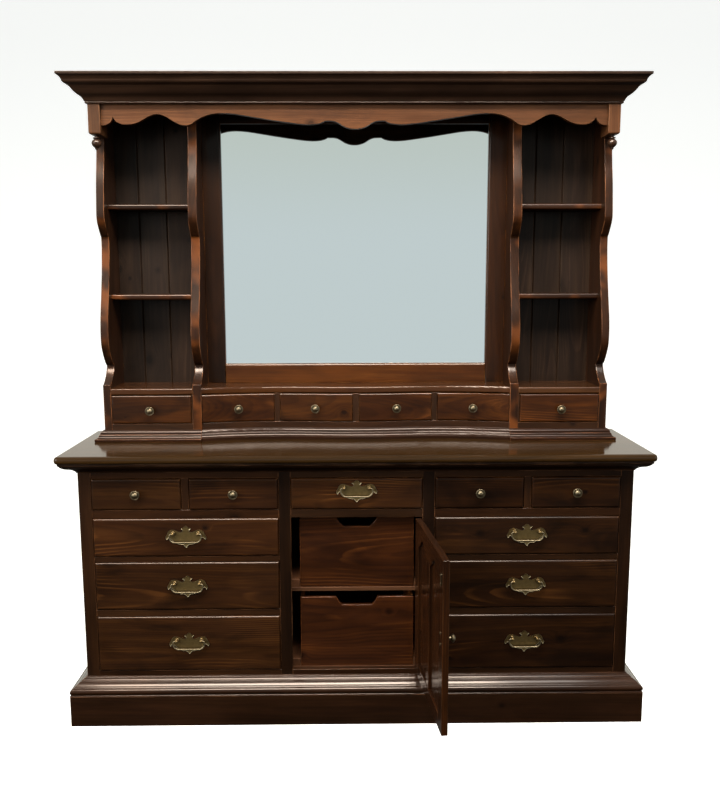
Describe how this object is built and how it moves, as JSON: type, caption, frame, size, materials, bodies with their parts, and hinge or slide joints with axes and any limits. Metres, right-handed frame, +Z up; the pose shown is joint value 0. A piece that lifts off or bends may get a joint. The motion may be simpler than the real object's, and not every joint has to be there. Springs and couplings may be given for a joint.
{
  "type": "dresser with hutch",
  "caption": "Wide dresser with drawer stacks beside a panelled door over pull-out trays; on it a scroll-sided hutch with mirror, shelves, small drawers, scalloped valance and cornice.",
  "frame": {"origin": "on the floor, at the centre of the whole object's box seen from above, with the door standing open as modelled", "axes": "+X along the width, to the right as seen from the front, +Y from the front to the back, +Z up"},
  "size_m": [1.792, 0.792, 1.977],
  "materials": {
    "dark_pine": "dark walnut stain, satin lacquer, worn edges",
    "warm_pine": "walnut stain over warm pine, satin lacquer",
    "drawer_pine": "stained knotty pine front, satin lacquer",
    "tray_pine": "clear-finished pine",
    "door_pine": "stained pine, satin lacquer",
    "back_pine": "stained boards, satin",
    "brass": "aged polished brass",
    "mirror": "silvered float glass"
  },
  "bodies": {
    "case": {"case_carcass": "dark_pine", "face_frame": "dark_pine", "plinth": "dark_pine", "deck_top": "dark_pine", "case_hinge_leaves": "brass", "hutch_base_case": "dark_pine", "hutch_scroll_panels": "dark_pine", "hutch_shelves": "dark_pine", "hutch_back_boards": "back_pine", "mirror_frame": "warm_pine", "mirror_glass": "mirror", "valance": "warm_pine", "cornice": "dark_pine"},
    "drawer_top_far_left": {"drawer_top_far_left": "drawer_pine", "knob_top_far_left": "brass"},
    "drawer_top_left": {"drawer_top_left": "drawer_pine", "knob_top_left": "brass"},
    "drawer_top_center": {"drawer_top_center": "drawer_pine", "pull_plate_top_center": "brass"},
    "drawer_top_right": {"drawer_top_right": "drawer_pine", "knob_top_right": "brass"},
    "drawer_top_far_right": {"drawer_top_far_right": "drawer_pine", "knob_top_far_right": "brass"},
    "drawer_left_upper": {"drawer_left_upper": "drawer_pine", "pull_plate_left_upper": "brass"},
    "drawer_left_middle": {"drawer_left_middle": "drawer_pine", "pull_plate_left_middle": "brass"},
    "drawer_left_lower": {"drawer_left_lower": "drawer_pine", "pull_plate_left_lower": "brass"},
    "drawer_right_upper": {"drawer_right_upper": "drawer_pine", "pull_plate_right_upper": "brass"},
    "drawer_right_middle": {"drawer_right_middle": "drawer_pine", "pull_plate_right_middle": "brass"},
    "drawer_right_lower": {"drawer_right_lower": "drawer_pine", "pull_plate_right_lower": "brass"},
    "hutch_drawer_tower_left": {"hutch_drawer_tower_left": "drawer_pine", "hutch_knob_tower_left": "brass"},
    "hutch_drawer_outer_left": {"hutch_drawer_outer_left": "drawer_pine", "hutch_knob_outer_left": "brass"},
    "hutch_drawer_inner_left": {"hutch_drawer_inner_left": "drawer_pine", "hutch_knob_inner_left": "brass"},
    "hutch_drawer_inner_right": {"hutch_drawer_inner_right": "drawer_pine", "hutch_knob_inner_right": "brass"},
    "hutch_drawer_outer_right": {"hutch_drawer_outer_right": "drawer_pine", "hutch_knob_outer_right": "brass"},
    "hutch_drawer_tower_right": {"hutch_drawer_tower_right": "drawer_pine", "hutch_knob_tower_right": "brass"},
    "tray_upper": {"tray_upper": "tray_pine"},
    "tray_lower": {"tray_lower": "tray_pine"},
    "door": {"door_frame": "door_pine", "door_panels": "door_pine", "door_hinges": "brass", "door_hardware": "brass"},
    "bail_top_center": {"bail_top_center": "brass"},
    "bail_left_upper": {"bail_left_upper": "brass"},
    "bail_left_middle": {"bail_left_middle": "brass"},
    "bail_left_lower": {"bail_left_lower": "brass"},
    "bail_right_upper": {"bail_right_upper": "brass"},
    "bail_right_middle": {"bail_right_middle": "brass"},
    "bail_right_lower": {"bail_right_lower": "brass"}
  },
  "joints": [
    {"name": "drawer_top_far_left_slide", "type": "slide", "parent": "case", "child": "drawer_top_far_left", "axis": [0, 1, 0], "range_m": [-0.3, 0]},
    {"name": "drawer_top_left_slide", "type": "slide", "parent": "case", "child": "drawer_top_left", "axis": [0, 1, 0], "range_m": [-0.3, 0]},
    {"name": "drawer_top_center_slide", "type": "slide", "parent": "case", "child": "drawer_top_center", "axis": [0, 1, 0], "range_m": [-0.3, 0]},
    {"name": "drawer_top_right_slide", "type": "slide", "parent": "case", "child": "drawer_top_right", "axis": [0, 1, 0], "range_m": [-0.3, 0]},
    {"name": "drawer_top_far_right_slide", "type": "slide", "parent": "case", "child": "drawer_top_far_right", "axis": [0, 1, 0], "range_m": [-0.3, 0]},
    {"name": "drawer_left_upper_slide", "type": "slide", "parent": "case", "child": "drawer_left_upper", "axis": [0, 1, 0], "range_m": [-0.3, 0]},
    {"name": "drawer_left_middle_slide", "type": "slide", "parent": "case", "child": "drawer_left_middle", "axis": [0, 1, 0], "range_m": [-0.3, 0]},
    {"name": "drawer_left_lower_slide", "type": "slide", "parent": "case", "child": "drawer_left_lower", "axis": [0, 1, 0], "range_m": [-0.3, 0]},
    {"name": "drawer_right_upper_slide", "type": "slide", "parent": "case", "child": "drawer_right_upper", "axis": [0, 1, 0], "range_m": [-0.3, 0]},
    {"name": "drawer_right_middle_slide", "type": "slide", "parent": "case", "child": "drawer_right_middle", "axis": [0, 1, 0], "range_m": [-0.3, 0]},
    {"name": "drawer_right_lower_slide", "type": "slide", "parent": "case", "child": "drawer_right_lower", "axis": [0, 1, 0], "range_m": [-0.3, 0]},
    {"name": "hutch_drawer_tower_left_slide", "type": "slide", "parent": "case", "child": "hutch_drawer_tower_left", "axis": [0, 1, 0], "range_m": [-0.12, 0]},
    {"name": "hutch_drawer_outer_left_slide", "type": "slide", "parent": "case", "child": "hutch_drawer_outer_left", "axis": [0, 1, 0], "range_m": [-0.1, 0]},
    {"name": "hutch_drawer_inner_left_slide", "type": "slide", "parent": "case", "child": "hutch_drawer_inner_left", "axis": [0, 1, 0], "range_m": [-0.1, 0]},
    {"name": "hutch_drawer_inner_right_slide", "type": "slide", "parent": "case", "child": "hutch_drawer_inner_right", "axis": [0, 1, 0], "range_m": [-0.1, 0]},
    {"name": "hutch_drawer_outer_right_slide", "type": "slide", "parent": "case", "child": "hutch_drawer_outer_right", "axis": [0, 1, 0], "range_m": [-0.1, 0]},
    {"name": "hutch_drawer_tower_right_slide", "type": "slide", "parent": "case", "child": "hutch_drawer_tower_right", "axis": [0, 1, 0], "range_m": [-0.12, 0]},
    {"name": "tray_upper_slide", "type": "slide", "parent": "case", "child": "tray_upper", "axis": [0, -1, 0], "range_m": [0, 0.3]},
    {"name": "tray_lower_slide", "type": "slide", "parent": "case", "child": "tray_lower", "axis": [0, -1, 0], "range_m": [0, 0.3]},
    {"name": "door_swing", "type": "hinge", "parent": "case", "child": "door", "pos_m": [0.1995, 0.002, 0.4065], "axis": [0, 0, 1], "range_deg": [-96, 54]},
    {"name": "bail_top_center_swing", "type": "hinge", "parent": "drawer_top_center", "child": "bail_top_center", "pos_m": [0, -0.009, 0.745], "axis": [-1, 0, 0], "range_deg": [0, 150]},
    {"name": "bail_left_upper_swing", "type": "hinge", "parent": "drawer_left_upper", "child": "bail_left_upper", "pos_m": [-0.5205, -0.009, 0.605], "axis": [-1, 0, 0], "range_deg": [0, 150]},
    {"name": "bail_left_middle_swing", "type": "hinge", "parent": "drawer_left_middle", "child": "bail_left_middle", "pos_m": [-0.5205, -0.009, 0.447], "axis": [-1, 0, 0], "range_deg": [0, 150]},
    {"name": "bail_left_lower_swing", "type": "hinge", "parent": "drawer_left_lower", "child": "bail_left_lower", "pos_m": [-0.5205, -0.009, 0.263], "axis": [-1, 0, 0], "range_deg": [0, 150]},
    {"name": "bail_right_upper_swing", "type": "hinge", "parent": "drawer_right_upper", "child": "bail_right_upper", "pos_m": [0.5205, -0.009, 0.605], "axis": [-1, 0, 0], "range_deg": [0, 150]},
    {"name": "bail_right_middle_swing", "type": "hinge", "parent": "drawer_right_middle", "child": "bail_right_middle", "pos_m": [0.5205, -0.009, 0.447], "axis": [-1, 0, 0], "range_deg": [0, 150]},
    {"name": "bail_right_lower_swing", "type": "hinge", "parent": "drawer_right_lower", "child": "bail_right_lower", "pos_m": [0.5205, -0.009, 0.263], "axis": [-1, 0, 0], "range_deg": [0, 150]}
  ]
}
